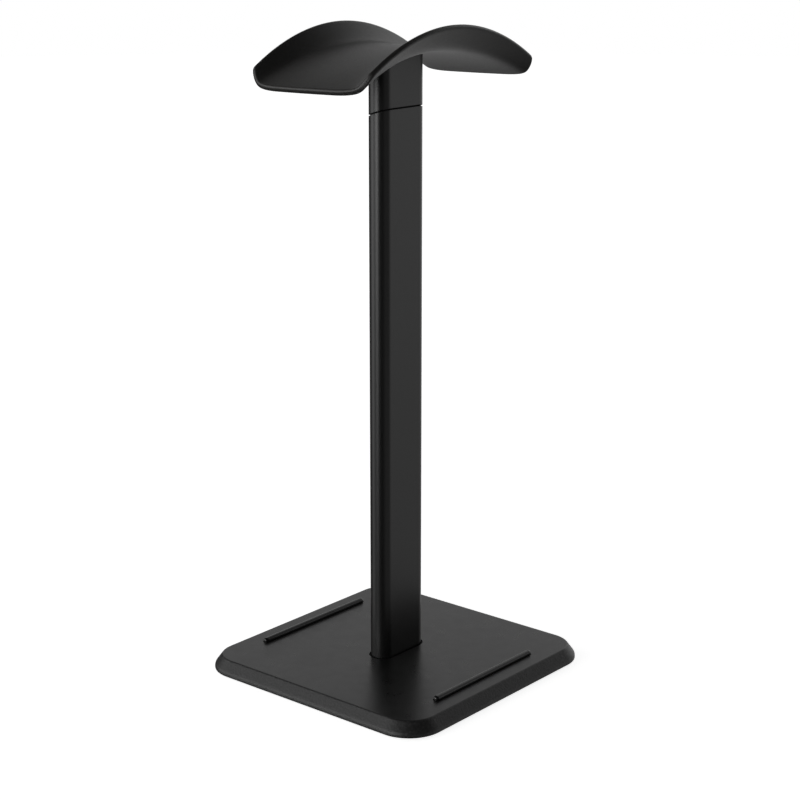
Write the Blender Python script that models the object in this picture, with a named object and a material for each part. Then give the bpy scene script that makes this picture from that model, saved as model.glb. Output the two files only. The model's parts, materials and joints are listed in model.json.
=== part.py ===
"""Headphone stand: saddle cradle, neck, flat-oval pole and weighted base.

Metres, +Z up. The origin is on the floor under the pole. X runs along the pole's broad side, the two
rest strips and the headband, and Y runs across the saddle's trough.
"""

import math

import bmesh
import bpy
from mathutils import Vector

MM = 0.001
GAP = 0.3 * MM                      # kept between pieces that touch

# Base
BASE_HALF = 60.0 * MM               # outer half width of the square base
BASE_CORNER_CENTRE = 44.4 * MM      # all its corner arcs are struck from here
BASE_BOTTOM = 0.7 * MM
BASE_TOP = 7.0 * MM
BEVEL_FOOT = 2.6 * MM               # height where the upright edge turns into the bevel
BEVEL_RUN = 3.3 * MM                # how far the bevel leans in
COVER_CEILING = 5.0 * MM            # underside of the cover's top wall
COVER_WALL = 2.0 * MM
CORNER_STEPS = 6

# Rest strips on the base
STRIP_LENGTH = 64.6 * MM
STRIP_WIDTH = 2.6 * MM
STRIP_Y = 47.9 * MM
STRIP_TOP = BASE_TOP + 1.8 * MM
STRIP_SLOT_FLOOR = BASE_TOP - 0.9 * MM

# Pole, its socket in the base, and the neck above it
POLE_LENGTH_X = 28.0 * MM
POLE_WIDTH_Y = 10.2 * MM
POLE_WALL = 1.2 * MM
SOCKET_FLOOR = BASE_TOP - 1.6 * MM
SOCKET_CLEARANCE = 0.6 * MM
GASKET_TOP = SOCKET_FLOOR + 0.9 * MM
GASKET_WIDTH = 2.5 * MM
POLE_BOTTOM = GASKET_TOP + GAP
SEAM_Z = 238.9 * MM                 # where the neck meets the pole, on the centre line
SEAM_SLANT = 0.32                   # the seam falls this much per unit along +Y
SHADOW_STEP_HEIGHT = 0.5 * MM
SHADOW_STEP_INSET = 0.8 * MM
SPIGOT_LENGTH = 22.0 * MM
END_STEPS = 10

# One long bolt ties base, pole and neck together
BOLT_RADIUS = 2.0 * MM
BOLT_HOLE_RADIUS = BOLT_RADIUS + GAP
BOLT_TOP = SEAM_Z - 6.0 * MM
BOLT_HEAD_RADIUS = 4.6 * MM
INSERT_RADIUS = 2.8 * MM
INSERT_LENGTH = 9.0 * MM

# Saddle
SADDLE_HALF_X = 53.8 * MM
SADDLE_HALF_Y = 30.6 * MM
SADDLE_CORNER_X = 4.4 * MM          # the ends are drawn as half ellipses in plan
SADDLE_CORNER_Y = 15.9 * MM
SADDLE_CREST = 263.8 * MM           # middle surface of the trough's floor at the crest
SADDLE_DROOP = 11.8 * MM            # how far the floor would fall if it ran out to the droop's span
DROOP_SPAN = 82.6 * MM
END_DROOP = 3.1 * MM                # extra fall towards the ends, measured at the end droop's span
END_DROOP_SPAN = 50.0 * MM
SADDLE_LEAN = 0.02                  # the trough falls this much per unit along +Y
FLANK_SLOPE = (1.34, 1.30)          # steepness of the raised sides over the crest and at the ends
FLANK_START = (23.5 * MM, 27.0 * MM)
FLANK_SOFTNESS = (3.1 * MM, 2.0 * MM)
SADDLE_THICKNESS = 2.4 * MM
RIM_EDGE = 0.35 * MM
CORE_THICKNESS = 0.8 * MM
CORE_INSET = 2.4 * MM               # how far the core's edge stays inside the skin's
SADDLE_COLUMNS = 24
SADDLE_FLOOR_ROWS = 4
SADDLE_CORNER_ROWS = 9

# Pieces inside the base
BALLAST_HALF = 52.0 * MM
BALLAST_BOTTOM = 2.5 * MM
BALLAST_TOP = COVER_CEILING - GAP
PLATE_TOP = 2.2 * MM
BOSS_RADIUS = 3.4 * MM
BOSS_PLACE = 47.0 * MM
SOCKET_BOSS_BOTTOM = 4.2 * MM
CLAMP_TOP = SOCKET_BOSS_BOTTOM - GAP
CLAMP_BOTTOM = CLAMP_TOP - 1.2 * MM
FOOT_PLACE = 38.0 * MM
FOOT_RADIUS = 7.0 * MM
FOOT_TOP = 1.3 * MM

CORNERS = [(-1, -1), (1, -1), (1, 1), (-1, 1)]


def clear_scene():
    for item in list(bpy.data.objects):
        bpy.data.objects.remove(item, do_unlink=True)


def make_material(name, colour, roughness, metallic=0.0):
    material = bpy.data.materials.new(name)
    material.use_nodes = True
    shader = material.node_tree.nodes["Principled BSDF"]
    shader.inputs["Base Color"].default_value = (*colour, 1.0)
    shader.inputs["Roughness"].default_value = roughness
    shader.inputs["Metallic"].default_value = metallic
    return material


# ---------------------------------------------------------------- mesh helpers

def add_object(name, bm, material, smooth_angle=35.0):
    bmesh.ops.recalc_face_normals(bm, faces=bm.faces)
    mesh = bpy.data.meshes.new(name)
    bm.to_mesh(mesh)
    bm.free()
    if material is not None:
        mesh.materials.append(material)
    mesh.shade_smooth()
    mesh.set_sharp_from_angle(angle=math.radians(smooth_angle))
    item = bpy.data.objects.new(name, mesh)
    bpy.context.collection.objects.link(item)
    return item


def loft(name, loops, material):
    """A closed body through loops of equal length, with a flat cap on the first and the last."""
    bm = bmesh.new()
    rings = [[bm.verts.new(point) for point in loop] for loop in loops]
    count = len(rings[0])
    for lower, upper in zip(rings, rings[1:]):
        for index in range(count):
            after = (index + 1) % count
            bm.faces.new((lower[index], lower[after], upper[after], upper[index]))
    bm.faces.new(list(reversed(rings[0])))
    bm.faces.new(rings[-1])
    return add_object(name, bm, material)


def rounded_loop(half_x, half_y, radius, z, steps=CORNER_STEPS, centre=(0.0, 0.0)):
    """A rounded rectangle at height z, with arcs of the given number of steps."""
    points = []
    for quarter, (side_x, side_y) in enumerate([(1, 1), (-1, 1), (-1, -1), (1, -1)]):
        corner_x = centre[0] + side_x * (half_x - radius)
        corner_y = centre[1] + side_y * (half_y - radius)
        for step in range(steps + 1):
            angle = math.pi / 2 * (quarter + step / steps)
            points.append(Vector((corner_x + radius * math.cos(angle),
                                  corner_y + radius * math.sin(angle), z)))
    return drop_repeats(points)


def drop_repeats(points, tolerance=1e-6):
    """The loop without points that fall on the one before, as where a flat side has no length."""
    kept = [point for index, point in enumerate(points)
            if (point - points[index - 1]).length > tolerance]
    return kept


def stadium_loop(inset, z):
    """The pole's outline, drawn in by inset."""
    half_y = POLE_WIDTH_Y / 2 - inset
    return rounded_loop(POLE_LENGTH_X / 2 - inset, half_y, half_y, z, END_STEPS)


def seam_height(y):
    return SEAM_Z - SEAM_SLANT * y


def turned(name, profile, material, centre=(0.0, 0.0), steps=16):
    """A body turned about a vertical axis from (radius, height) pairs, bottom to top."""
    loops = []
    for radius, z in profile:
        loops.append([Vector((centre[0] + radius * math.cos(2 * math.pi * step / steps),
                              centre[1] + radius * math.sin(2 * math.pi * step / steps), z))
                      for step in range(steps)])
    return loft(name, loops, material)


def as_tool(item):
    item.hide_render = True
    item.display_type = "WIRE"
    return item


def combine(target, tool, operation):
    modifier = target.modifiers.new(operation.title(), "BOOLEAN")
    modifier.operation = operation
    modifier.object = as_tool(tool)


def cut(target, tool):
    combine(target, tool, "DIFFERENCE")


def fuse(target, tool):
    combine(target, tool, "UNION")


def peg(name, centre, radius, bottom, top, steps=16):
    """A plain round tool, such as a hole's cutter or a boss."""
    return turned(name, [(radius, bottom), (radius, top)], None, centre, steps)


# ---------------------------------------------------------------- saddle surface

def arch(x):
    """0 over the crest, 1 at the droop's span."""
    return math.sin(math.pi / 2 * x / DROOP_SPAN) ** 2


def floor_height(x):
    """Middle surface along the trough: an arch that falls faster near its ends."""
    return SADDLE_CREST - SADDLE_DROOP * arch(x) - END_DROOP * (x / END_DROOP_SPAN) ** 4


def flank_rise(x, y):
    """How far the sides rise over the floor: flat in the middle, then a fold that is later and tighter
    towards the ends."""
    share = (x / SADDLE_HALF_X) ** 2
    slope, start, softness = [over_crest + share * (at_end - over_crest)
                              for over_crest, at_end in (FLANK_SLOPE, FLANK_START, FLANK_SOFTNESS)]

    def soft(distance):
        return 0.5 * slope * (distance + math.hypot(distance, softness))
    return soft(abs(y) - start) - soft(-start)


def middle_height(x, y):
    return floor_height(x) + flank_rise(x, y) - SADDLE_LEAN * y


def saddle_point(x, y, offset):
    """The point at a given distance above the middle surface, along its normal."""
    small = 0.05 * MM
    slope_x = (middle_height(x + small, y) - middle_height(x - small, y)) / (2 * small)
    slope_y = (middle_height(x, y + small) - middle_height(x, y - small)) / (2 * small)
    normal = Vector((-slope_x, -slope_y, 1.0)).normalized()
    return Vector((x, y, middle_height(x, y))) + normal * offset


def outline_rows(half_x, half_y, corner_x, corner_y, floor_rows, corner_rows):
    """(y, half length) of each row of a rectangle with elliptical corners, from -Y to +Y."""
    rows = []
    for step in range(corner_rows):
        angle = math.pi / 2 * (1 - step / corner_rows)
        rows.append((-(half_y - corner_y) - corner_y * math.sin(angle),
                     half_x - corner_x + corner_x * math.cos(angle)))
    for step in range(floor_rows + 1):
        rows.append(((half_y - corner_y) * (2 * step / floor_rows - 1), half_x))
    return rows + [(-y, length) for y, length in reversed(rows[:corner_rows])]


def grid_points(rows, columns, place):
    return [[place(length * (2 * column / columns - 1), y) for column in range(columns + 1)]
            for y, length in rows]


def border(grid):
    """The grid's outer ring, anticlockwise seen from above."""
    right = [row[-1] for row in grid[1:-1]]
    left = [row[0] for row in reversed(grid[1:-1])]
    return grid[0] + right + list(reversed(grid[-1])) + left


def sheet(name, grids, material):
    """A closed body: the first grid on top, the last below, and the borders of all joined in order."""
    bm = bmesh.new()
    top = [[bm.verts.new(point) for point in row] for row in grids[0]]
    bottom = [[bm.verts.new(point) for point in row] for row in grids[-1]]
    middle = [[bm.verts.new(point) for point in border(grid)] for grid in grids[1:-1]]
    for grid in (top, bottom):
        for near, far in zip(grid, grid[1:]):
            for index in range(len(near) - 1):
                bm.faces.new((near[index], near[index + 1], far[index + 1], far[index]))
    rings = [border(top)] + middle + [border(bottom)]
    count = len(rings[0])
    for upper, lower in zip(rings, rings[1:]):
        for index in range(count):
            after = (index + 1) % count
            bm.faces.new((upper[index], lower[index], lower[after], upper[after]))
    return add_object(name, bm, material)


def saddle_grid(inset, offset):
    rows = outline_rows(SADDLE_HALF_X - inset, SADDLE_HALF_Y - inset, SADDLE_CORNER_X - inset,
                        SADDLE_CORNER_Y - inset, SADDLE_FLOOR_ROWS, SADDLE_CORNER_ROWS)
    return grid_points(rows, SADDLE_COLUMNS, lambda x, y: saddle_point(x, y, offset))


# ---------------------------------------------------------------- cradle

def make_saddle_skin(material):
    """The soft skin, moulded all round the core: it has a window for the neck underneath."""
    half = SADDLE_THICKNESS / 2
    rim = [(RIM_EDGE, half), (0.0, half - RIM_EDGE), (0.0, RIM_EDGE - half), (RIM_EDGE, -half)]
    skin = sheet("saddle_skin", [saddle_grid(inset, offset) for inset, offset in rim], material)
    room = CORE_THICKNESS / 2 + GAP
    cut(skin, sheet("core_room", [saddle_grid(CORE_INSET - GAP, room), saddle_grid(CORE_INSET - GAP, -room)],
                    None))
    cut(skin, loft("neck_window", [stadium_loop(-GAP, z) for z in (SEAM_Z, SADDLE_CREST)], None))
    return skin


def make_saddle_core(material):
    """The rigid plate inside the skin, in one moulding with the neck and its spigot."""
    half = CORE_THICKNESS / 2
    core = sheet("saddle_core", [saddle_grid(CORE_INSET, half), saddle_grid(CORE_INSET, -half)], material)
    fuse(core, make_neck())
    spigot_inset = POLE_WALL + GAP
    fuse(core, loft("neck_spigot", [stadium_loop(spigot_inset + MM, SEAM_Z - SPIGOT_LENGTH),
                                    stadium_loop(spigot_inset, SEAM_Z - SPIGOT_LENGTH + 2 * MM),
                                    stadium_loop(spigot_inset, SEAM_Z + 5 * MM)], None))
    spigot_end = SEAM_Z - SPIGOT_LENGTH
    cut(core, turned("neck_bore", [(INSERT_RADIUS + GAP, spigot_end - MM),
                                   (INSERT_RADIUS + GAP, spigot_end + INSERT_LENGTH + GAP),
                                   (BOLT_HOLE_RADIUS, spigot_end + INSERT_LENGTH + GAP),
                                   (BOLT_HOLE_RADIUS, BOLT_TOP + 2 * MM)], None))
    return core


def make_neck():
    """The pole's section carried up into the plate, with a small step that leaves the dark seam."""
    def outline(inset, height):
        half_y = POLE_WIDTH_Y / 2 - inset
        rows = outline_rows(POLE_LENGTH_X / 2 - inset, half_y, half_y, 0.999 * half_y, 2, END_STEPS // 2)
        return grid_points(rows, 14, lambda x, y: Vector((x, y, height(x, y))))

    def seam(x, y):
        return seam_height(y) + GAP

    def step_top(x, y):
        return seam(x, y) + SHADOW_STEP_HEIGHT

    grids = [outline(0.0, lambda x, y: saddle_point(x, y, 0.0).z), outline(0.0, step_top),
             outline(SHADOW_STEP_INSET, step_top), outline(SHADOW_STEP_INSET, seam)]
    return sheet("neck_body", grids, None)


def make_neck_insert(material):
    """The threaded insert in the end of the spigot, with a groove round its middle."""
    low = SEAM_Z - SPIGOT_LENGTH
    high = low + INSERT_LENGTH
    middle = (low + high) / 2
    groove = INSERT_RADIUS - 0.15 * MM
    profile = [(groove, low), (INSERT_RADIUS, low + 0.4 * MM), (INSERT_RADIUS, middle - 0.8 * MM),
               (groove, middle - 0.5 * MM), (groove, middle + 0.5 * MM),
               (INSERT_RADIUS, middle + 0.8 * MM), (INSERT_RADIUS, high)]
    insert = turned("neck_insert", profile, material)
    cut(insert, peg("insert_bore", (0.0, 0.0), BOLT_HOLE_RADIUS, low - MM, high + MM))
    return insert


# ---------------------------------------------------------------- pole

def make_pole(material):
    top = [Vector((point.x, point.y, seam_height(point.y))) for point in stadium_loop(0.0, SEAM_Z)]
    pole = loft("pole_tube", [stadium_loop(0.0, POLE_BOTTOM), top], material)
    cut(pole, loft("pole_inside", [stadium_loop(POLE_WALL, z)
                                   for z in (POLE_BOTTOM - MM, SEAM_Z + 4 * MM)], None))
    return pole


def make_pole_gasket(material):
    """A flat ring under the pole's end, which shows as a dark line round its foot."""
    bottom = SOCKET_FLOOR + GAP
    ring = loft("pole_gasket", [stadium_loop(GAP - SOCKET_CLEARANCE, z) for z in (bottom, GASKET_TOP)],
                material)
    cut(ring, loft("gasket_window", [stadium_loop(GASKET_WIDTH, z) for z in (bottom - MM, GASKET_TOP + MM)],
                   None))
    return ring


def make_tie_bolt(material):
    head_top = CLAMP_BOTTOM - GAP
    head_bottom = BASE_BOTTOM + 0.2 * MM
    profile = [(BOLT_HEAD_RADIUS - 0.3 * MM, head_bottom), (BOLT_HEAD_RADIUS, head_bottom + 0.4 * MM),
               (BOLT_HEAD_RADIUS, head_top), (BOLT_RADIUS, head_top),
               (BOLT_RADIUS, BOLT_TOP - 2 * MM), (0.6 * BOLT_RADIUS, BOLT_TOP)]
    bolt = turned("tie_bolt", profile, material)
    cut(bolt, turned("bolt_socket", [(2.3 * MM, 0.0), (2.3 * MM, head_bottom + 1.0 * MM)], None, steps=6))
    return bolt


# ---------------------------------------------------------------- base

def base_loop(half, z):
    return rounded_loop(half, half, half - BASE_CORNER_CENTRE, z)


def make_base_cover(material):
    outer_edge = 0.3 * MM
    inner_low = BASE_HALF - COVER_WALL
    inner_high = inner_low - BEVEL_RUN
    loops = [base_loop(inner_high, COVER_CEILING), base_loop(inner_low, BEVEL_FOOT),
             base_loop(inner_low, BASE_BOTTOM), base_loop(BASE_HALF - outer_edge, BASE_BOTTOM),
             base_loop(BASE_HALF, BASE_BOTTOM + outer_edge), base_loop(BASE_HALF, BEVEL_FOOT),
             base_loop(BASE_HALF - BEVEL_RUN, BASE_TOP)]
    cover = loft("base_cover", loops, material)
    fuse(cover, loft("socket_boss",
                     [rounded_loop(18.0 * MM, 9.6 * MM, 9.5 * MM, z, END_STEPS)
                      for z in (SOCKET_BOSS_BOTTOM, BASE_TOP - 0.5 * MM)], None))
    for number, (side_x, side_y) in enumerate(CORNERS, 1):
        centre = (side_x * BOSS_PLACE, side_y * BOSS_PLACE)
        fuse(cover, peg("boss_%d" % number, centre, BOSS_RADIUS, PLATE_TOP + GAP, BASE_TOP - 0.5 * MM))
        cut(cover, peg("boss_hole_%d" % number, centre, 1.5 * MM, BASE_BOTTOM, BASE_TOP - 1.1 * MM, 12))
    cut(cover, loft("socket_cut", [stadium_loop(-SOCKET_CLEARANCE, z)
                                   for z in (SOCKET_FLOOR, BASE_TOP + MM)], None))
    cut(cover, peg("cover_bolt_hole", (0.0, 0.0), BOLT_HOLE_RADIUS, BASE_BOTTOM, BASE_TOP))
    for place, sign in {"front": -1, "back": 1}.items():
        cut(cover, strip_body("strip_slot_" + place, sign, STRIP_SLOT_FLOOR, BASE_TOP + MM, GAP, None))
    return cover


def strip_body(name, sign, bottom, top, grow, material):
    half_y = STRIP_WIDTH / 2 + grow
    half_x = STRIP_LENGTH / 2 + grow
    centre = (0.0, sign * STRIP_Y)
    return loft(name, [rounded_loop(half_x, half_y, 0.95 * half_y, z, 4, centre)
                       for z in (bottom, top)], material)


def make_strip(place, sign, material):
    edge = 0.35 * MM
    half_x = STRIP_LENGTH / 2
    half_y = STRIP_WIDTH / 2
    centre = (0.0, sign * STRIP_Y)
    stages = [(0.0, STRIP_SLOT_FLOOR + GAP), (0.0, STRIP_TOP - edge), (edge, STRIP_TOP)]
    return loft("rest_strip_" + place,
                [rounded_loop(half_x - inset, half_y - inset, 0.95 * (half_y - inset), z, 4, centre)
                 for inset, z in stages], material)


def make_ballast(material):
    plate = loft("ballast_plate", [rounded_loop(BALLAST_HALF, BALLAST_HALF, 10 * MM, z)
                                   for z in (BALLAST_BOTTOM, BALLAST_TOP)], material)
    cut(plate, loft("ballast_window", [rounded_loop(19.0 * MM, 10.6 * MM, 10.5 * MM, z, END_STEPS)
                                       for z in (BALLAST_BOTTOM - MM, BALLAST_TOP + MM)], None))
    for number, (side_x, side_y) in enumerate(CORNERS, 1):
        centre = (side_x * BOSS_PLACE, side_y * BOSS_PLACE)
        cut(plate, peg("ballast_notch_%d" % number, centre, BOSS_RADIUS + 2 * GAP,
                       BALLAST_BOTTOM - MM, BALLAST_TOP + MM))
    return plate


def make_clamp_plate(material):
    plate = loft("clamp_plate", [rounded_loop(16.0 * MM, 7.5 * MM, 3 * MM, z)
                                 for z in (CLAMP_BOTTOM, CLAMP_TOP)], material)
    cut(plate, peg("clamp_hole", (0.0, 0.0), BOLT_HOLE_RADIUS, CLAMP_BOTTOM - MM, CLAMP_TOP + MM))
    return plate


def cross_recess(name, centre, bottom, top, reach, width):
    """A driver's cross, as one twelve-sided prism."""
    points = []
    for quarter in range(4):
        angle = math.pi / 2 * quarter
        for along, across in [(reach, -width), (reach, width), (width, width)]:
            points.append((centre[0] + along * math.cos(angle) - across * math.sin(angle),
                           centre[1] + along * math.sin(angle) + across * math.cos(angle)))
    return loft(name, [[Vector((*point, z)) for point in points] for z in (bottom, top)], None)


def make_base_plate(material):
    half = BASE_HALF - COVER_WALL - GAP
    plate = loft("base_plate", [base_loop(half, BASE_BOTTOM), base_loop(half, PLATE_TOP)], material)
    cut(plate, peg("access_hole", (0.0, 0.0), BOLT_HEAD_RADIUS + MM, 0.0, 3 * MM, 24))
    for number, (side_x, side_y) in enumerate(CORNERS, 1):
        seat = [(2.9 * MM, BASE_BOTTOM - MM), (2.9 * MM, BASE_BOTTOM), (1.5 * MM, PLATE_TOP - 0.1 * MM),
                (1.5 * MM, PLATE_TOP + MM)]
        centre = (side_x * BOSS_PLACE, side_y * BOSS_PLACE)
        cut(plate, turned("base_countersink_%d" % number, seat, None, centre))
        foot_centre = (side_x * FOOT_PLACE, side_y * FOOT_PLACE)
        cut(plate, peg("foot_pocket_%d" % number, foot_centre, FOOT_RADIUS + GAP, 0.0, FOOT_TOP + GAP, 24))
    return plate


def make_base_screw(number, side_x, side_y, material):
    profile = [(2.5 * MM, BASE_BOTTOM + 0.1 * MM), (1.2 * MM, PLATE_TOP - 0.1 * MM),
               (1.2 * MM, 5.0 * MM), (0.6 * MM, 5.5 * MM)]
    centre = (side_x * BOSS_PLACE, side_y * BOSS_PLACE)
    screw = turned("base_screw_%d" % number, profile, material, centre, 12)
    cut(screw, cross_recess("base_recess_%d" % number, centre, 0.0, BASE_BOTTOM + 0.8 * MM,
                            1.2 * MM, 0.35 * MM))
    return screw


def make_foot(number, side_x, side_y, material):
    edge = 0.25 * MM
    profile = [(FOOT_RADIUS - edge, 0.0), (FOOT_RADIUS, edge), (FOOT_RADIUS, FOOT_TOP)]
    return turned("foot_%d" % number, profile, material, (side_x * FOOT_PLACE, side_y * FOOT_PLACE), 24)


# ---------------------------------------------------------------- assembly

def build():
    clear_scene()
    soft_touch = make_material("soft_touch_tpu", (0.026, 0.025, 0.024), 0.62)
    moulded = make_material("textured_abs", (0.028, 0.028, 0.028), 0.5)
    satin = make_material("satin_abs", (0.024, 0.024, 0.024), 0.36)
    anodised = make_material("black_anodised", (0.024, 0.024, 0.025), 0.34, 0.6)
    strip_rubber = make_material("strip_rubber", (0.02, 0.02, 0.02), 0.3)
    foot_rubber = make_material("foot_rubber", (0.03, 0.03, 0.03), 0.85)
    brass = make_material("brass", (0.7, 0.5, 0.22), 0.35, 1.0)
    steel = make_material("zinc_steel", (0.55, 0.55, 0.56), 0.35, 1.0)
    ballast_steel = make_material("ballast_steel", (0.32, 0.32, 0.33), 0.5, 1.0)

    make_saddle_skin(soft_touch)
    make_saddle_core(satin)
    make_neck_insert(brass)
    make_pole(anodised)
    make_pole_gasket(foot_rubber)
    make_tie_bolt(steel)
    make_base_cover(satin)
    make_strip("front", -1, strip_rubber)
    make_strip("back", 1, strip_rubber)
    make_ballast(ballast_steel)
    make_clamp_plate(steel)
    make_base_plate(moulded)
    for number, (side_x, side_y) in enumerate(CORNERS, 1):
        make_base_screw(number, side_x, side_y, steel)
        make_foot(number, side_x, side_y, foot_rubber)


build()
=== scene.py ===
"""Black headphone stand: the visible pieces, their materials, the studio and the camera.

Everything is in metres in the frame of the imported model: X along the pole's broad side, Y across the
saddle's trough, Z up from the floor.
"""

import json
import math

import bmesh
import bpy
from mathutils import Matrix, Vector


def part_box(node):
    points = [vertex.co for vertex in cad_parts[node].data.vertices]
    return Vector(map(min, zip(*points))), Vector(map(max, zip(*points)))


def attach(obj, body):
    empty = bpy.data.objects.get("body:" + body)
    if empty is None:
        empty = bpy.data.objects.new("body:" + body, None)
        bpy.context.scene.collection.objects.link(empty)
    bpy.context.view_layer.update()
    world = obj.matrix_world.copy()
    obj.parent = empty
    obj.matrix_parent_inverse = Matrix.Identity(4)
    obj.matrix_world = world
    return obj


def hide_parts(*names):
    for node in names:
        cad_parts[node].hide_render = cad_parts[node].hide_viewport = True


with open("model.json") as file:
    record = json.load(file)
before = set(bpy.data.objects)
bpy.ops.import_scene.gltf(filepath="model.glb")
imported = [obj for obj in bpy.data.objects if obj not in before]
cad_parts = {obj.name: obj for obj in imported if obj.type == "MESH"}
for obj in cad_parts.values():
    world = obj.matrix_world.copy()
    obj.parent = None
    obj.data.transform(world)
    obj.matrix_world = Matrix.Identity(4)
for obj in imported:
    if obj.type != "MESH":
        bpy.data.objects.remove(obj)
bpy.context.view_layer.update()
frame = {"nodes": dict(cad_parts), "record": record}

MM = 0.001
BODY = "root"
GAP = 0.3 * MM                      # kept between pieces that touch

# ---------------------------------------------------------------- places read from the frame

BASE_LOW, BASE_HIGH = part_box("base_cover")
PLATE_LOW, PLATE_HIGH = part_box("base_plate")
POLE_LOW, POLE_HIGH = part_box("pole_tube")
SPIGOT_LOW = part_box("saddle_core")[0].z
STRIP_LOW, STRIP_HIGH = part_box("rest_strip_back")

BASE_TOP = BASE_HIGH.z
BASE_HALF = BASE_HIGH.x
STRIP_HALF_Y = (STRIP_HIGH.y - STRIP_LOW.y) / 2
STRIP_Y = (STRIP_HIGH.y + STRIP_LOW.y) / 2
SEAM_SLANT = 0.32                   # the seam falls this much per unit along +Y
SEAM_Z = POLE_HIGH.z - SEAM_SLANT * POLE_HIGH.y

# ---------------------------------------------------------------- driving dimensions

BASE_CORNER_CENTRE = 44.4 * MM      # the base's corner arcs are struck from here
BEVEL_FOOT = 2.6 * MM               # height where the upright edge turns into the bevel
BEVEL_RUN = 3.3 * MM
COVER_CEILING = 5.0 * MM
COVER_WALL = 2.0 * MM
SOCKET_BOSS_BOTTOM = 4.2 * MM
SOCKET_BOSS_HALF = (18.0 * MM, 9.6 * MM)
SOCKET_BOSS_CORNER = 9.5 * MM
BOSS_TOP = BASE_TOP - 0.5 * MM      # where the bosses end, inside the cover's top wall
SCREW_POST_RADIUS = 3.4 * MM
SCREW_HOLE_RADIUS = 1.5 * MM
SCREW_HOLE_TOP = BASE_TOP - 1.1 * MM
COUNTERSINK_RADIUS = 2.9 * MM
ACCESS_RADIUS = 5.6 * MM            # the hole under the tie bolt's head
PLATE_EDGE = 0.25 * MM

STRIP_SLOT_FLOOR = BASE_TOP - 0.9 * MM
STRIP_WALL_TOP = BASE_TOP + 0.7 * MM
STRIP_DOME_STEPS = 10

POLE_WALL = 1.2 * MM
POLE_EDGE = 0.08 * MM
BOLT_HOLE_RADIUS = 2.3 * MM
SOCKET_CLEARANCE = 0.6 * MM
SOCKET_FLOOR = BASE_TOP - 1.6 * MM
SOCKET_LIP = 0.2 * MM
SEAM_GAP = 0.03 * MM
SHADOW_STEP_HEIGHT = 0.6 * MM       # the groove at the seam; its dark line is the groove's real shade plus painted shade in the neck's material
SHADOW_STEP_INSET = 0.6 * MM
SHADOW_STEP_EDGE = 0.06 * MM

SADDLE_HALF_X = 53.8 * MM
SADDLE_HALF_Y = 30.6 * MM
SADDLE_CORNER_X = 4.4 * MM          # the ends are drawn as half ellipses in plan
SADDLE_CORNER_Y = 15.9 * MM
SADDLE_CREST = 263.8 * MM           # middle surface of the trough's floor at the crest
SADDLE_DROOP = 11.8 * MM            # how far the floor would fall if it ran out to the droop's span
DROOP_SPAN = 82.6 * MM
END_DROOP = 3.1 * MM                # extra fall towards the ends, measured at the end droop's span
END_DROOP_SPAN = 50.0 * MM
SADDLE_LEAN = 0.02                  # the trough falls this much per unit along +Y
FLANK_SLOPE = (1.34, 1.30)          # over the crest, and at the ends
FLANK_START = (23.5 * MM, 27.0 * MM)
FLANK_SOFTNESS = (3.1 * MM, 2.0 * MM)
SADDLE_THICKNESS = 2.4 * MM
CORE_THICKNESS = 0.8 * MM
CORE_INSET = 2.4 * MM
NECK_WINDOW_GAP = 0.55 * MM         # shows as a fine dark line round the neck, under the skin
SKIN_GRID = (132, 28, 28)           # columns, rows of the floor, rows of each corner
CORE_GRID = (44, 10, 12)


# ---------------------------------------------------------------- mesh helpers

def make_object(name, bm):
    bmesh.ops.recalc_face_normals(bm, faces=bm.faces)
    mesh = bpy.data.meshes.new(name)
    bm.to_mesh(mesh)
    bm.free()
    mesh.shade_smooth()
    item = bpy.data.objects.new(name, mesh)
    bpy.context.collection.objects.link(item)
    return item


def skin_rings(bm, rings, closed=False):
    """Quads between neighbouring rings, and from the last ring back to the first if closed."""
    count = len(rings[0])
    pairs = list(zip(rings, rings[1:]))
    if closed:
        pairs.append((rings[-1], rings[0]))
    for lower, upper in pairs:
        for index in range(count):
            after = (index + 1) % count
            bm.faces.new((lower[index], lower[after], upper[after], upper[index]))


def loft(name, loops):
    """A closed body through loops of equal length, capped at both ends."""
    bm = bmesh.new()
    rings = [[bm.verts.new(point) for point in loop] for loop in loops]
    skin_rings(bm, rings)
    bm.faces.new(list(reversed(rings[0])))
    bm.faces.new(rings[-1])
    return make_object(name, bm)


def tube(name, loops):
    """A body whose loops run up the outside and down the inside, and meet again."""
    bm = bmesh.new()
    rings = [[bm.verts.new(point) for point in loop] for loop in loops]
    skin_rings(bm, rings, closed=True)
    return make_object(name, bm)


def rounded_loop(half_x, half_y, radius, z, steps=16, centre=(0.0, 0.0)):
    """A rounded rectangle at height z. Each side is one straight length between its corners' arcs."""
    points = []
    for quarter, (side_x, side_y) in enumerate([(1, 1), (-1, 1), (-1, -1), (1, -1)]):
        corner_x = centre[0] + side_x * (half_x - radius)
        corner_y = centre[1] + side_y * (half_y - radius)
        for step in range(steps + 1):
            angle = math.pi / 2 * (quarter + step / steps)
            points.append(Vector((corner_x + radius * math.cos(angle),
                                  corner_y + radius * math.sin(angle), z)))
    return [point for index, point in enumerate(points) if (point - points[index - 1]).length > 1e-7]


def round_edge(start, corner, end, steps=6):
    """(inset, height) points of a rounded corner, as a quadratic curve from start to end."""
    points = []
    for step in range(steps + 1):
        t = step / steps
        weights = ((1 - t) ** 2, 2 * t * (1 - t), t * t)
        points.append(tuple(sum(w * p[axis] for w, p in zip(weights, (start, corner, end)))
                            for axis in range(2)))
    return points


def rounded_profile(corners, radii, steps=6):
    """A chain of (inset, height) points with each inner corner rounded off by its radius."""
    points = [corners[0]]
    for before, corner, after, radius in zip(corners, corners[1:], corners[2:], radii):
        here = Vector(corner)
        towards_before = (Vector(before) - here).normalized() * radius
        towards_after = (Vector(after) - here).normalized() * radius
        points += round_edge(here + towards_before, here, here + towards_after, steps)
    return points + [corners[-1]]


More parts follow.
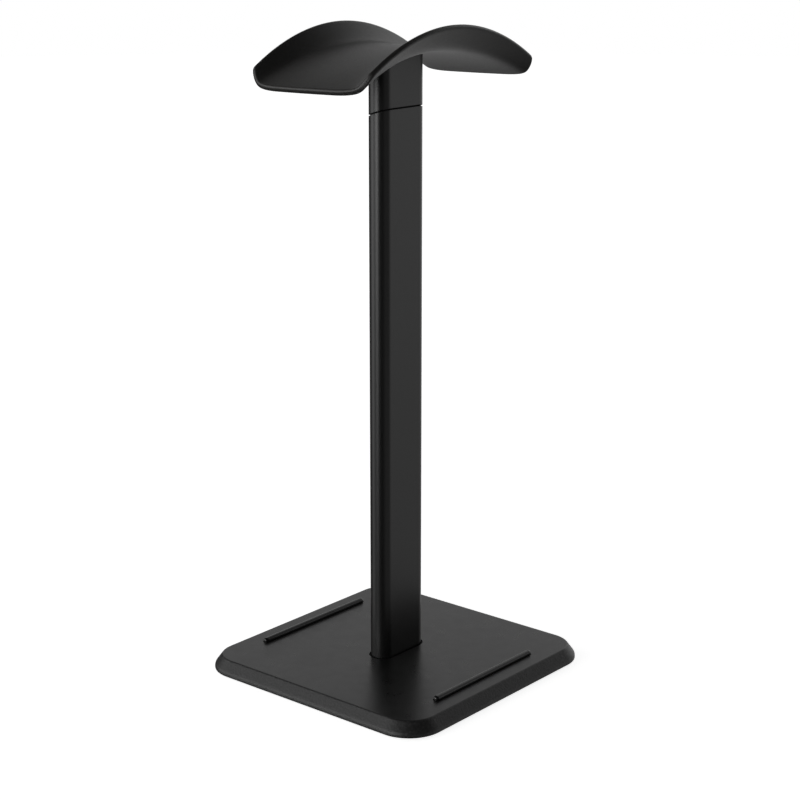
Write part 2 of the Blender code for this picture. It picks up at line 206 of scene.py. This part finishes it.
def turned(name, profile, centre=(0.0, 0.0), steps=48):
    """A body turned about a vertical axis from (radius, height) pairs, bottom to top or inward."""
    loops = []
    for radius, z in profile:
        loops.append([Vector((centre[0] + radius * math.cos(2 * math.pi * step / steps),
                              centre[1] + radius * math.sin(2 * math.pi * step / steps), z))
                      for step in range(steps)])
    return loft(name, loops)


def centre_of(node):
    low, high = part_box(node)
    return ((low.x + high.x) / 2, (low.y + high.y) / 2)


def carve(item, tools, operation="DIFFERENCE"):
    """Cuts the tools from the item, or joins them to it, and removes them."""
    for tool in tools:
        modifier = item.modifiers.new("carve", "BOOLEAN")
        modifier.operation = operation
        modifier.object = tool
    settle(item)
    for tool in tools:
        bpy.data.objects.remove(tool, do_unlink=True)


def settle(item):
    """Applies the item's modifiers."""
    bpy.context.view_layer.update()
    shown = item.evaluated_get(bpy.context.evaluated_depsgraph_get())
    mesh = bpy.data.meshes.new_from_object(shown)
    item.modifiers.clear()
    item.data = mesh


def even_normals(item, sharp_angle):
    """Lets large flat faces keep their own normals beside small round edges."""
    item.data.shade_smooth()
    item.data.set_sharp_from_angle(angle=math.radians(sharp_angle))
    modifier = item.modifiers.new("even_normals", "WEIGHTED_NORMAL")
    modifier.keep_sharp = True
    settle(item)


def place(item, slot, node, sharp_angle=50.0):
    """Makes a finished piece part of the object, in place of the CAD node it stands for."""
    item.data.materials.clear()
    item.data.materials.append(FINISH[slot])
    even_normals(item, sharp_angle)
    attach(item, BODY)
    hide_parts(node)


# ---------------------------------------------------------------- materials

class Nodes:
    """A material's node tree, with short ways to add what the finishes below share."""

    def __init__(self, name, colour, roughness, metallic=0.0):
        self.material = bpy.data.materials.new(name)
        self.material.use_nodes = True
        self.tree = self.material.node_tree
        self.shader = self.tree.nodes["Principled BSDF"]
        self.shader.inputs["Base Color"].default_value = (*colour, 1.0)
        self.shader.inputs["Roughness"].default_value = roughness
        self.shader.inputs["Metallic"].default_value = metallic
        self.place = self.add("ShaderNodeTexCoord").outputs["Object"]

    def add(self, kind, **settings):
        node = self.tree.nodes.new(kind)
        for key, value in settings.items():
            setattr(node, key, value)
        return node

    def link(self, source, target):
        self.tree.links.new(source, target)

    def noise(self, size, detail, stretch=(1.0, 1.0, 1.0)):
        """Noise whose blotches are about the given size in metres."""
        mapping = self.add("ShaderNodeMapping")
        mapping.inputs["Scale"].default_value = stretch
        self.link(self.place, mapping.inputs["Vector"])
        noise = self.add("ShaderNodeTexNoise")
        noise.inputs["Scale"].default_value = 1 / size
        noise.inputs["Detail"].default_value = detail
        self.link(mapping.outputs["Vector"], noise.inputs["Vector"])
        return noise.outputs["Fac"]

    def spread(self, source, low, high):
        """Maps noise, which keeps near its middle, to the range from low to high."""
        ramp = self.add("ShaderNodeMapRange")
        ramp.inputs["From Min"].default_value = 0.3
        ramp.inputs["From Max"].default_value = 0.7
        ramp.inputs["To Min"].default_value = low
        ramp.inputs["To Max"].default_value = high
        self.link(source, ramp.inputs["Value"])
        return ramp.outputs["Result"]

    def blend(self, factor, a, b, kind="FLOAT"):
        """From a to b, each a socket or a plain value. The kind for colours is RGBA."""
        mix = self.add("ShaderNodeMix", data_type=kind)
        self.link(factor, mix.inputs["Factor"])
        for name, value in (("A", a), ("B", b)):
            if isinstance(value, bpy.types.NodeSocket):
                self.link(value, mix.inputs[name])
            else:
                mix.inputs[name].default_value = value
        return mix.outputs["Result"]

    def tint(self, factor, colour_a, colour_b):
        return self.blend(factor, (*colour_a, 1.0), (*colour_b, 1.0), "RGBA")

    def bump(self, source, depth, below=None):
        bump = self.add("ShaderNodeBump")
        bump.inputs["Distance"].default_value = depth
        self.link(source, bump.inputs["Height"])
        if below is not None:
            self.link(below, bump.inputs["Normal"])
        return bump.outputs["Normal"]

    def finish(self, colour, roughness, normal):
        self.link(colour, self.shader.inputs["Base Color"])
        self.link(roughness, self.shader.inputs["Roughness"])
        self.link(normal, self.shader.inputs["Normal"])
        return self.material


def grey(level):
    return (level, level, level)


def grained(name, colours, cloud, roughness, grain, depth, metallic=0.0, stretch=(1.0, 1.0, 1.0)):
    """A finish whose colour drifts in clouds and whose gloss and height follow a fine grain.

    cloud and grain are the size and the detail of their noise, and depth is how far the grain stands up.
    """
    nodes = Nodes(name, colours[1], roughness[1], metallic)
    drift = nodes.spread(nodes.noise(*cloud), 0.0, 1.0)
    fine = nodes.noise(*grain, stretch)
    return nodes.finish(nodes.tint(drift, *colours), nodes.spread(fine, *roughness),
                        nodes.bump(fine, depth))


def satin_plastic():
    """Satin black, with painted shade in the groove of the seam, where no light reaches: there the colour
    is set to black and the gloss made dull.
    """
    nodes = Nodes("satin_black_abs", grey(0.010), 0.34)
    cloud = nodes.spread(nodes.noise(14 * MM, 3), 0.0, 1.0)
    grain = nodes.noise(0.3 * MM, 2)
    # Painted shade: below the top of the seam's groove, on the slanted plane, the colour is pure black and
    # the roughness 1; the change takes 0.1 mm.
    over_seam = nodes.add("ShaderNodeVectorMath", operation="DOT_PRODUCT")
    over_seam.inputs[1].default_value = (0.0, SEAM_SLANT, 1.0)
    nodes.link(nodes.place, over_seam.inputs[0])
    clear = nodes.add("ShaderNodeMapRange")
    clear.inputs["From Min"].default_value = SEAM_Z + SHADOW_STEP_HEIGHT
    clear.inputs["From Max"].default_value = SEAM_Z + SHADOW_STEP_HEIGHT + 0.1 * MM
    nodes.link(over_seam.outputs["Value"], clear.inputs["Value"])
    outside = clear.outputs["Result"]
    black = (0.0, 0.0, 0.0, 1.0)
    return nodes.finish(nodes.blend(outside, black, nodes.tint(cloud, grey(0.009), grey(0.011)), "RGBA"),
                        nodes.blend(outside, 1.0, nodes.spread(grain, 0.32, 0.38)),
                        nodes.bump(grain, 0.004 * MM))


def anodised():
    """Fine lines along the extrusion, under an even grain."""
    nodes = Nodes("black_anodised", grey(0.010), 0.32)
    draw_lines = nodes.noise(0.5 * MM, 2, stretch=(1.0, 1.0, 0.02))
    grain = nodes.noise(0.25 * MM, 2)
    below = nodes.bump(draw_lines, 0.003 * MM)
    return nodes.finish(nodes.tint(nodes.spread(draw_lines, 0.0, 1.0), grey(0.0095), grey(0.0110)),
                        nodes.spread(grain, 0.30, 0.36),
                        nodes.bump(grain, 0.004 * MM, below))


def base_plastic():
    """Satin on the flat top, and a coarser spark-eroded grain on the bevel and the edge."""
    nodes = Nodes("base_abs", grey(0.010), 0.3)
    geometry = nodes.add("ShaderNodeNewGeometry")
    split = nodes.add("ShaderNodeSeparateXYZ")
    nodes.link(geometry.outputs["True Normal"], split.inputs["Vector"])
    side = nodes.add("ShaderNodeMapRange")
    side.inputs["From Min"].default_value = 0.97
    side.inputs["From Max"].default_value = 0.85
    nodes.link(split.outputs["Z"], side.inputs["Value"])
    on_side = side.outputs["Result"]
    satin = nodes.noise(0.35 * MM, 2)
    mottle = nodes.noise(5 * MM, 4)
    coarse = nodes.noise(0.9 * MM, 4)
    height = nodes.blend(on_side, nodes.spread(satin, 0.0, 0.1), nodes.spread(coarse, 0.0, 1.0))
    top_colour = nodes.tint(nodes.spread(mottle, 0.0, 1.0), grey(0.009), grey(0.011))
    side_colour = nodes.tint(nodes.spread(coarse, 0.0, 1.0), grey(0.012), grey(0.033))
    return nodes.finish(nodes.blend(on_side, top_colour, side_colour, "RGBA"),
                        nodes.blend(on_side, nodes.spread(mottle, 0.27, 0.33),
                                    nodes.spread(coarse, 0.42, 0.56)),
                        nodes.bump(height, 0.055 * MM))


FINISH = {
    "soft_touch": grained("soft_touch_tpu", ((0.0165, 0.0160, 0.0150), (0.0200, 0.0194, 0.0182)),
                          (9 * MM, 3), (0.40, 0.52), (0.45 * MM, 3), 0.012 * MM),
    "satin_plastic": satin_plastic(),
    "anodised": anodised(),
    "base_plastic": base_plastic(),
    "textured_plastic": grained("textured_abs", (grey(0.016), grey(0.022)),
                                (12 * MM, 3), (0.45, 0.60), (0.6 * MM, 4), 0.04 * MM),
    "strip_rubber": grained("strip_silicone", (grey(0.007), grey(0.010)),
                            (0.8 * MM, 3), (0.18, 0.26), (0.8 * MM, 3), 0.006 * MM),
    "foot_rubber": grained("foot_rubber", (grey(0.016), grey(0.026)),
                           (4 * MM, 3), (0.70, 0.90), (0.5 * MM, 3), 0.03 * MM),
    "brass": grained("brass", ((0.55, 0.38, 0.15), (0.74, 0.54, 0.25)),
                     (3 * MM, 4), (0.24, 0.375), (0.5 * MM, 3), 0.01 * MM, metallic=1.0),
    "zinc_steel": grained("zinc_steel", ((0.42, 0.43, 0.45), (0.62, 0.62, 0.63)),
                          (3 * MM, 4), (0.256, 0.40), (0.5 * MM, 3), 0.01 * MM, metallic=1.0),
    "ballast_steel": grained("ballast_steel", ((0.2, 0.19, 0.18), (0.36, 0.36, 0.37)),
                             (3 * MM, 4), (0.40, 0.625), (1.0 * MM, 3), 0.01 * MM, metallic=1.0,
                             stretch=(1.0, 0.08, 1.0)),
}


# ---------------------------------------------------------------- cradle

def arch(x):
    return math.sin(math.pi / 2 * x / DROOP_SPAN) ** 2


def middle_height(x, y):
    """Middle surface of the cradle: an arch along X, with sides that rise in a soft fold."""
    share = (x / SADDLE_HALF_X) ** 2
    slope, start, softness = [over_crest + share * (at_end - over_crest)
                              for over_crest, at_end in (FLANK_SLOPE, FLANK_START, FLANK_SOFTNESS)]

    def soft(distance):
        return 0.5 * slope * (distance + math.hypot(distance, softness))
    floor = SADDLE_CREST - SADDLE_DROOP * arch(x) - END_DROOP * (x / END_DROOP_SPAN) ** 4
    return floor + soft(abs(y) - start) - soft(-start) - SADDLE_LEAN * y


def saddle_point(x, y, offset):
    """The point at a given distance above the middle surface, along its normal."""
    small = 0.05 * MM
    slope_x = (middle_height(x + small, y) - middle_height(x - small, y)) / (2 * small)
    slope_y = (middle_height(x, y + small) - middle_height(x, y - small)) / (2 * small)
    normal = Vector((-slope_x, -slope_y, 1.0)).normalized()
    return Vector((x, y, middle_height(x, y))) + normal * offset


def outline_rows(half_x, half_y, corner_x, corner_y, floor_rows, corner_rows):
    """(y, half length) of each row of a rectangle with elliptical corners, from -Y to +Y."""
    rows = []
    for step in range(corner_rows):
        angle = math.pi / 2 * (1 - step / corner_rows)
        rows.append((-(half_y - corner_y) - corner_y * math.sin(angle),
                     half_x - corner_x + corner_x * math.cos(angle)))
    for step in range(floor_rows + 1):
        rows.append(((half_y - corner_y) * (2 * step / floor_rows - 1), half_x))
    return rows + [(-y, length) for y, length in reversed(rows[:corner_rows])]


def grid_points(rows, columns, put):
    return [[put(length * (2 * column / columns - 1), y) for column in range(columns + 1)]
            for y, length in rows]


def border(grid):
    right = [row[-1] for row in grid[1:-1]]
    left = [row[0] for row in reversed(grid[1:-1])]
    return grid[0] + right + list(reversed(grid[-1])) + left


def sheet_body(name, grids):
    """A closed body: the first grid on top, the last below, and the borders of all joined in order."""
    bm = bmesh.new()
    top = [[bm.verts.new(point) for point in row] for row in grids[0]]
    bottom = [[bm.verts.new(point) for point in row] for row in grids[-1]]
    middle = [[bm.verts.new(point) for point in border(grid)] for grid in grids[1:-1]]
    for grid in (top, bottom):
        for near, far in zip(grid, grid[1:]):
            for index in range(len(near) - 1):
                bm.faces.new((near[index], near[index + 1], far[index + 1], far[index]))
    skin_rings(bm, [border(top)] + middle + [border(bottom)])
    return make_object(name, bm)


def saddle_grid(inset, offset, grid):
    columns, floor_rows, corner_rows = grid
    rows = outline_rows(SADDLE_HALF_X - inset, SADDLE_HALF_Y - inset, SADDLE_CORNER_X - inset,
                        SADDLE_CORNER_Y - inset, floor_rows, corner_rows)
    return grid_points(rows, columns, lambda x, y: saddle_point(x, y, offset))


def neck_loop(inset, z, slant=0.0, steps=24):
    """The pole's outline, drawn in by inset, on a level or slanted plane."""
    half_y = POLE_HIGH.y - inset
    loop = rounded_loop(POLE_HIGH.x - inset, half_y, half_y * 0.9999, z, steps)
    return [Vector((point.x, point.y, point.z - slant * point.y)) for point in loop]


def neck_grid(inset, height):
    """The inside of that outline as a grid, at the height that a function of x and y gives."""
    half_y = POLE_HIGH.y - inset
    rows = outline_rows(POLE_HIGH.x - inset, half_y, half_y, 0.999 * half_y, 2, 16)
    return grid_points(rows, 36, lambda x, y: Vector((x, y, height(x, y))))


def make_cradle_skin():
    """The skin has a thin, well rounded edge all round."""
    half = SADDLE_THICKNESS / 2
    rim = rounded_profile([(1.3 * MM, half), (0.0, half), (0.0, -half), (1.0 * MM, -half)],
                          [1.1 * MM, 0.7 * MM], 7)
    skin = sheet_body("cradle_skin", [saddle_grid(inset, offset, SKIN_GRID) for inset, offset in rim])
    room = CORE_THICKNESS / 2 + GAP
    core_room = sheet_body("core_room", [saddle_grid(CORE_INSET - GAP, side * room, CORE_GRID)
                                         for side in (1, -1)])
    window = loft("neck_window", [neck_loop(-NECK_WINDOW_GAP, z) for z in (SEAM_Z, SADDLE_CREST)])
    carve(skin, [core_room, window])
    place(skin, "soft_touch", "saddle_skin")


def make_cradle_core():
    """The plate inside the skin with the neck and its spigot, one moulding."""
    half = CORE_THICKNESS / 2
    core = sheet_body("cradle_core", [saddle_grid(CORE_INSET, side * half, CORE_GRID)
                                      for side in (1, -1)])
    seam = SEAM_Z + SEAM_GAP
    step_top = seam + SHADOW_STEP_HEIGHT
    edge = SHADOW_STEP_EDGE
    stations = [(0.0, step_top + edge), (0.3 * edge, step_top + 0.3 * edge), (edge, step_top),
                (SHADOW_STEP_INSET, step_top), (SHADOW_STEP_INSET, seam)]
    grids = [neck_grid(0.0, middle_height)]
    for inset, level in stations:
        grids.append(neck_grid(inset, lambda x, y, level=level: level - SEAM_SLANT * y))
    neck = sheet_body("neck_body", grids)
    spigot_inset = POLE_WALL + GAP
    spigot = loft("neck_spigot", [neck_loop(spigot_inset + MM, SPIGOT_LOW),
                                  neck_loop(spigot_inset, SPIGOT_LOW + 2 * MM),
                                  neck_loop(spigot_inset, SEAM_Z + 5 * MM)])
    carve(core, [neck, spigot], "UNION")
    insert_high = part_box("neck_insert")[1]
    bolt_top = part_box("tie_bolt")[1].z
    bore = turned("neck_bore", [(insert_high.x + GAP, SPIGOT_LOW - MM),
                                (insert_high.x + GAP, insert_high.z + GAP),
                                (BOLT_HOLE_RADIUS, insert_high.z + GAP),
                                (BOLT_HOLE_RADIUS, bolt_top + 2 * MM)])
    carve(core, [bore])
    place(core, "satin_plastic", "saddle_core")


# ---------------------------------------------------------------- pole

def make_pole():
    ease = [(POLE_EDGE, 0.0), (0.3 * POLE_EDGE, 0.3 * POLE_EDGE), (0.0, POLE_EDGE)]
    loops = [neck_loop(inset, POLE_LOW.z + rise) for inset, rise in ease]
    loops += [neck_loop(inset, SEAM_Z - rise, SEAM_SLANT) for inset, rise in reversed(ease)]
    loops += [neck_loop(POLE_WALL, SEAM_Z, SEAM_SLANT), neck_loop(POLE_WALL, POLE_LOW.z)]
    place(tube("pole", loops), "anodised", "pole_tube")


# ---------------------------------------------------------------- base

def base_loop(inset, z):
    half = BASE_HALF - inset
    return rounded_loop(half, half, half - BASE_CORNER_CENTRE, z)


def strip_loop(sign, inset, z):
    half_y = STRIP_HALF_Y - inset
    return rounded_loop(STRIP_HIGH.x - inset, half_y, 0.999 * half_y, z, 12, (0.0, sign * STRIP_Y))


def make_base_shell():
    outer = rounded_profile([(1.0 * MM, BASE_LOW.z), (0.0, BASE_LOW.z), (0.0, BEVEL_FOOT),
                             (BEVEL_RUN, BASE_TOP), (BEVEL_RUN + 2 * MM, BASE_TOP)],
                            [0.7 * MM, 0.9 * MM, 0.5 * MM])
    inner = [(COVER_WALL + BEVEL_RUN, COVER_CEILING), (COVER_WALL, BEVEL_FOOT), (COVER_WALL, BASE_LOW.z)]
    shell = loft("base_shell", [base_loop(inset, z) for inset, z in inner + outer])
    boss = loft("socket_boss", [rounded_loop(*SOCKET_BOSS_HALF, SOCKET_BOSS_CORNER, z)
                                for z in (SOCKET_BOSS_BOTTOM, BOSS_TOP)])
    posts = []
    holes = []
    for number in range(1, 5):
        centre = centre_of("base_screw_%d" % number)
        posts.append(turned("post", [(SCREW_POST_RADIUS, PLATE_HIGH.z + GAP),
                                     (SCREW_POST_RADIUS, BOSS_TOP)], centre, 32))
        holes.append(turned("hole", [(SCREW_HOLE_RADIUS, BASE_LOW.z),
                                     (SCREW_HOLE_RADIUS, SCREW_HOLE_TOP)], centre, 24))
    carve(shell, [boss] + posts, "UNION")
    socket_stations = [(0.0, SOCKET_FLOOR), (0.0, BASE_TOP - SOCKET_LIP), (SOCKET_LIP, BASE_TOP),
                       (SOCKET_LIP, BASE_TOP + MM)]
    socket = loft("socket", [neck_loop(-SOCKET_CLEARANCE - grow, z) for grow, z in socket_stations])
    bolt_hole = turned("bolt_hole", [(BOLT_HOLE_RADIUS, 0.0), (BOLT_HOLE_RADIUS, BASE_TOP)])
    slots = [loft("slot", [strip_loop(sign, -GAP, z) for z in (STRIP_SLOT_FLOOR, BASE_TOP + MM)])
             for sign in (-1, 1)]
    carve(shell, holes + [socket, bolt_hole] + slots)
    place(shell, "base_plastic", "base_cover")


def make_strip(node, sign):
    """A bead with a domed top and domed ends."""
    dome = STRIP_HIGH.z - STRIP_WALL_TOP
    stations = [(0.0, STRIP_LOW.z), (0.0, STRIP_WALL_TOP)]
    for step in range(1, STRIP_DOME_STEPS):
        angle = math.pi / 2 * step / STRIP_DOME_STEPS
        stations.append((STRIP_HALF_Y * (1 - math.cos(angle)), STRIP_WALL_TOP + dome * math.sin(angle)))
    place(loft(node + "_bead", [strip_loop(sign, inset, z) for inset, z in stations]), "strip_rubber", node)


def make_foot_pad(node):
    """A round pad with a shallow ring groove in its underside."""
    low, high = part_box(node)
    radius = (high.x - low.x) / 2
    corners = [(radius, high.z), (radius, low.z), (radius - 1.6 * MM, low.z),
               (radius - 1.9 * MM, low.z + 0.25 * MM), (radius - 2.5 * MM, low.z + 0.25 * MM),
               (radius - 2.8 * MM, low.z), (0.5 * MM, low.z)]
    profile = rounded_profile(corners, [0.3 * MM, 0.1 * MM, 0.1 * MM, 0.1 * MM, 0.1 * MM], 4)
    place(turned(node + "_pad", profile, centre_of(node)), "foot_rubber", node)


def make_bottom_plate():
    """The closing plate, with eased edges, its access hole, countersinks and pockets for the feet."""
    inset = BASE_HALF - PLATE_HIGH.x
    plate = loft("bottom_plate", [base_loop(inset + PLATE_EDGE, PLATE_LOW.z),
                                  base_loop(inset, PLATE_LOW.z + PLATE_EDGE),
                                  base_loop(inset, PLATE_HIGH.z)])
    tools = [turned("access", [(ACCESS_RADIUS + PLATE_EDGE, PLATE_LOW.z - PLATE_EDGE),
                               (ACCESS_RADIUS, PLATE_LOW.z + PLATE_EDGE),
                               (ACCESS_RADIUS, PLATE_HIGH.z + MM)])]
    for number in range(1, 5):
        tools.append(turned("seat", [(COUNTERSINK_RADIUS, PLATE_LOW.z - MM),
                                     (COUNTERSINK_RADIUS, PLATE_LOW.z),
                                     (SCREW_HOLE_RADIUS, PLATE_HIGH.z - 0.1 * MM),
                                     (SCREW_HOLE_RADIUS, PLATE_HIGH.z + MM)],
                            centre_of("base_screw_%d" % number)))
        foot = "foot_%d" % number
        low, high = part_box(foot)
        radius = (high.x - low.x) / 2 + GAP
        tools.append(turned("pocket", [(radius, 0.0), (radius, high.z + GAP)], centre_of(foot)))
    carve(plate, tools)
    place(plate, "textured_plastic", "base_plate", sharp_angle=30.0)


# ---------------------------------------------------------------- studio and camera

CAMERA_AZIMUTH = math.radians(49.89)    # to the left of the stand's front
CAMERA_PITCH = math.radians(15.264)
CAMERA_DISTANCE = 830.8 * MM
CAMERA_AIM_RIGHT = 1.7 * MM             # where the view's middle lies from the middle of the base top
CAMERA_AIM_UP = 107.5 * MM
CAMERA_LENS = 86.106
FLOOR_RADIUS = 3.0
FLOOR_GLOW = 0.86                       # lifts the floor to the photo's plain white, for the camera only


def make_camera():
    turn, dip = CAMERA_AZIMUTH, CAMERA_PITCH
    right = Vector((math.cos(turn), -math.sin(turn), 0.0))
    forward = Vector((math.sin(turn) * math.cos(dip), math.cos(turn) * math.cos(dip), -math.sin(dip)))
    up = right.cross(forward)
    data = bpy.data.cameras.new("camera")
    data.lens = CAMERA_LENS
    data.sensor_width = 36.0
    data.clip_start = 0.01
    camera = bpy.data.objects.new("camera", data)
    bpy.context.collection.objects.link(camera)
    aim = Vector((0.0, 0.0, BASE_TOP)) + right * CAMERA_AIM_RIGHT + up * CAMERA_AIM_UP
    camera.matrix_world = Matrix.Translation(aim - forward * CAMERA_DISTANCE) @ Matrix(
        (right, up, -forward)).transposed().to_4x4()
    bpy.context.scene.camera = camera


# Soft panels round the stand: name, azimuth, elevation and half width in degrees, and brightness.
# Azimuth is counted from the camera's side, positive to the camera's right. Those under the horizon
# are the light that the pale ground throws back into the glossy faces.
# This list isn't a design made by hand. Least-squares fits to the photo's tones picked all the panels
# but front_fill from a set of 38, and gave their brightness, which was rounded or averaged.
# Five were then changed: upper_left, right, ground_front_right and the two near_ground ones.
PANELS = [
    ("key", -45.0, 4.0, 20.0, 6.75),
    ("key_edge", -75.0, 4.0, 20.0, 0.35),
    ("left", -90.0, 14.0, 38.0, 1.8),
    ("upper_left", -60.0, 48.0, 42.0, 0.12),
    ("back_left", -170.0, 12.0, 20.0, 0.45),
    ("upper_back_left", -160.0, 32.0, 24.0, 0.4),
    ("upper_back_right", 150.0, 32.0, 24.0, 0.4),
    ("back_right", 150.0, 14.0, 38.0, 0.72),
    ("right", 120.0, 14.0, 38.0, 0.54),
    ("ground_left", -90.0, -12.0, 22.0, 0.65),
    ("ground_front_right", 45.0, -22.0, 34.0, 0.3),
    ("ground_right", 90.0, -8.0, 22.0, 0.78),
    ("ground_back_right", 135.0, -22.0, 34.0, 0.28),
    ("ground_back", 180.0, -22.0, 34.0, 0.6),
    ("near_ground_right", 100.0, -45.0, 30.0, 0.38),
    ("near_ground_back", 150.0, -45.0, 30.0, 0.3),
    ("front_fill", 10.0, 28.0, 55.0, 0.035),
]


def panel_direction(azimuth, elevation):
    """The direction from the stand to a panel, in the frame's axes."""
    turn = CAMERA_AZIMUTH
    right = Vector((math.cos(turn), -math.sin(turn), 0.0))
    towards_camera = Vector((-math.sin(turn), -math.cos(turn), 0.0))
    a, e = math.radians(azimuth), math.radians(elevation)
    flat = towards_camera * math.cos(a) + right * math.sin(a)
    return flat * math.cos(e) + Vector((0.0, 0.0, math.sin(e)))


def make_world():
    """The panels light the stand, and the camera sees plain white behind it."""
    world = bpy.data.worlds.new("studio")
    bpy.context.scene.world = world
    world.use_nodes = True
    tree = world.node_tree
    background = tree.nodes["Background"]
    output = tree.nodes["World Output"]
    direction = tree.nodes.new("ShaderNodeTexCoord").outputs["Generated"]
    total = None
    for name, azimuth, elevation, width, brightness in PANELS:
        dot = tree.nodes.new("ShaderNodeVectorMath")
        dot.label = name
        dot.operation = "DOT_PRODUCT"
        dot.inputs[1].default_value = panel_direction(azimuth, elevation)
        tree.links.new(direction, dot.inputs[0])
        glow = tree.nodes.new("ShaderNodeMapRange")
        glow.interpolation_type = "SMOOTHSTEP"
        glow.inputs["From Min"].default_value = math.cos(math.radians(width))
        glow.inputs["From Max"].default_value = 1.0
        glow.inputs["To Max"].default_value = brightness
        tree.links.new(dot.outputs["Value"], glow.inputs["Value"])
        if total is None:
            total = glow.outputs["Result"]
        else:
            add = tree.nodes.new("ShaderNodeMath")
            add.operation = "ADD"
            tree.links.new(total, add.inputs[0])
            tree.links.new(glow.outputs["Result"], add.inputs[1])
            total = add.outputs["Value"]
    tree.links.new(total, background.inputs["Strength"])
    backdrop = tree.nodes.new("ShaderNodeBackground")
    backdrop.inputs["Color"].default_value = (1.0, 1.0, 1.0, 1.0)
    background.inputs["Color"].default_value = (1.0, 1.0, 1.0, 1.0)
    mix = tree.nodes.new("ShaderNodeMixShader")
    tree.links.new(tree.nodes.new("ShaderNodeLightPath").outputs["Is Camera Ray"], mix.inputs["Fac"])
    tree.links.new(background.outputs["Background"], mix.inputs[1])
    tree.links.new(backdrop.outputs["Background"], mix.inputs[2])
    tree.links.new(mix.outputs["Shader"], output.inputs["Surface"])


def make_floor():
    bm = bmesh.new()
    bmesh.ops.create_circle(bm, cap_ends=True, segments=96, radius=FLOOR_RADIUS)
    floor = make_object("floor", bm)
    material = bpy.data.materials.new("floor_paper")
    material.use_nodes = True
    tree = material.node_tree
    shader = tree.nodes["Principled BSDF"]
    shader.inputs["Base Color"].default_value = (0.8, 0.8, 0.8, 1.0)
    shader.inputs["Roughness"].default_value = 0.9
    shader.inputs["Specular IOR Level"].default_value = 0.0
    glow = tree.nodes.new("ShaderNodeEmission")
    seen = tree.nodes.new("ShaderNodeMath")
    seen.operation = "MULTIPLY"
    seen.inputs[1].default_value = FLOOR_GLOW
    tree.links.new(tree.nodes.new("ShaderNodeLightPath").outputs["Is Camera Ray"], seen.inputs[0])
    tree.links.new(seen.outputs["Value"], glow.inputs["Strength"])
    add = tree.nodes.new("ShaderNodeAddShader")
    tree.links.new(shader.outputs["BSDF"], add.inputs[0])
    tree.links.new(glow.outputs["Emission"], add.inputs[1])
    tree.links.new(add.outputs["Shader"], tree.nodes["Material Output"].inputs["Surface"])
    floor.data.materials.append(material)
    floor.visible_glossy = False


# ---------------------------------------------------------------- the stand

def main():
    make_camera()
    make_world()
    make_floor()
    make_cradle_skin()
    make_cradle_core()
    make_pole()
    make_base_shell()
    make_strip("rest_strip_front", -1)
    make_strip("rest_strip_back", 1)
    make_bottom_plate()
    for number in range(1, 5):
        make_foot_pad("foot_%d" % number)
    for part in frame["record"]["subparts"]:
        item = frame["nodes"][part["node"]]
        carried_over = not item.hide_render
        if carried_over:
            item.data.materials.clear()
            item.data.materials.append(FINISH[part["material_slot"]])
    bpy.context.scene.view_settings.view_transform = "Standard"


main()
